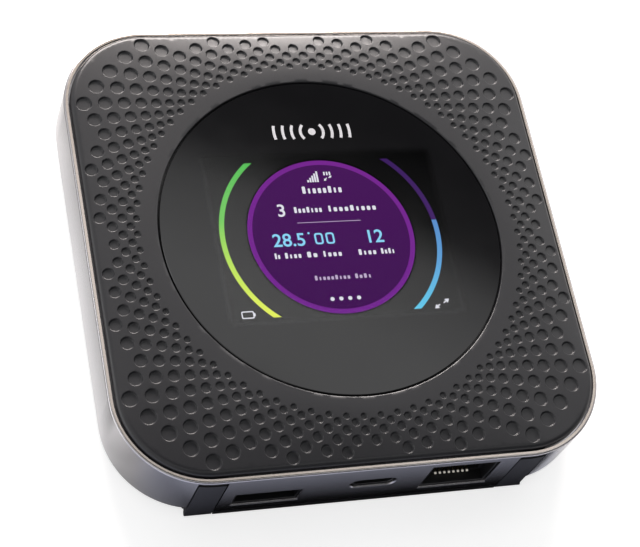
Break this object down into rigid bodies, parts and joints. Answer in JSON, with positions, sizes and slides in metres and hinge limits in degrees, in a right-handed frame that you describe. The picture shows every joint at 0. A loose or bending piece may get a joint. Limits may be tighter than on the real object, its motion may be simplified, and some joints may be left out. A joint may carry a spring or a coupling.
{
  "type": "mobile hotspot",
  "caption": "Square battery-powered mobile hotspot with a round glass display window, dimpled top cover, wired network and serial-bus ports, antenna flaps and a lift-off battery door.",
  "frame": {"origin": "centre of the square footprint, on the plane that the rubber feet stand on", "axes": "+X right as the display is read, +Y from the port edge to the power-button edge, +Z out of the display"},
  "size_m": [0.1054, 0.1054, 0.0203],
  "materials": {
    "cover": "fine satin texture",
    "window_glass": "polished",
    "adhesive": "matte",
    "lcd": "glossy",
    "stamped_steel": "satin",
    "polyimide": "satin",
    "foam": "matte",
    "heat_spreader": "satin",
    "thermal_pad": "matte",
    "board": "satin solder mask",
    "shield_can": "satin",
    "screw_steel": "satin",
    "band": "satin metallic",
    "housing": "matte",
    "door": "fine texture",
    "battery": "satin wrap",
    "port_plastic": "satin",
    "gold": "polished",
    "rubber": "matte",
    "button": "satin",
    "switch_white": "satin",
    "card": "satin",
    "reset_red": "satin",
    "antenna_copper": "satin"
  },
  "bodies": {
    "casing": {"top_cover": "cover", "display_window": "window_glass", "window_adhesive": "adhesive", "lcd_panel": "lcd", "lcd_frame": "stamped_steel", "lcd_flex": "polyimide", "display_foam": "foam", "heat_spreader": "heat_spreader", "thermal_pad": "thermal_pad", "main_board": "board", "modem_shield": "shield_can", "wifi_shield": "shield_can", "power_shield": "shield_can", "board_screws": "screw_steel", "side_band": "band", "rear_housing": "housing", "housing_screws": "screw_steel", "battery_connector": "port_plastic", "battery_contacts": "gold", "ethernet_jack": "port_plastic", "ethernet_contacts": "gold", "ethernet_shield": "stamped_steel", "usb_a_shell": "stamped_steel", "usb_a_tongue": "port_plastic", "usb_c_shell": "stamped_steel", "usb_c_tongue": "port_plastic", "antenna_jack_left": "gold", "antenna_jack_right": "gold", "power_switch": "port_plastic", "sim_slot": "stamped_steel", "reset_switch": "port_plastic", "main_antenna": "antenna_copper", "diversity_antenna": "antenna_copper", "wifi_antenna_left": "antenna_copper", "wifi_antenna_right": "antenna_copper"},
    "door": {"battery_door": "door", "rubber_feet": "rubber"},
    "battery": {"battery_pack": "battery"},
    "power_button": {"power_button": "button", "switch_plunger": "switch_white"},
    "antenna_cap_left": {"antenna_cap_left": "rubber"},
    "antenna_cap_right": {"antenna_cap_right": "rubber"},
    "sim_card": {"sim_card": "card"},
    "reset_button": {"reset_button": "reset_red"}
  },
  "joints": [
    {"name": "battery_door_lift", "type": "slide", "parent": "casing", "child": "door", "axis": [0, 0, -1], "range_m": [0, 0.04]},
    {"name": "battery_lift", "type": "slide", "parent": "casing", "child": "battery", "axis": [0, 0, -1], "range_m": [0, 0.02]},
    {"name": "power_press", "type": "slide", "parent": "casing", "child": "power_button", "axis": [0, -1, 0], "range_m": [0, 0.00035]},
    {"name": "antenna_flap_left", "type": "hinge", "parent": "casing", "child": "antenna_cap_left", "pos_m": [-0.0342, -0.05212, 0.00063], "axis": [1, 0, 0], "range_deg": [0, 95]},
    {"name": "antenna_flap_right", "type": "hinge", "parent": "casing", "child": "antenna_cap_right", "pos_m": [0.0342, -0.05212, 0.00063], "axis": [1, 0, 0], "range_deg": [0, 95]},
    {"name": "sim_card_slide", "type": "slide", "parent": "casing", "child": "sim_card", "axis": [0, -1, 0], "range_m": [0, 0.012]},
    {"name": "reset_press", "type": "slide", "parent": "casing", "child": "reset_button", "axis": [0, 0, 1], "range_m": [0, 0.00025]}
  ],
  "couplings": [
    {"joint": "battery_lift", "follows": "battery_door_lift", "ratio": 0.5}
  ]
}
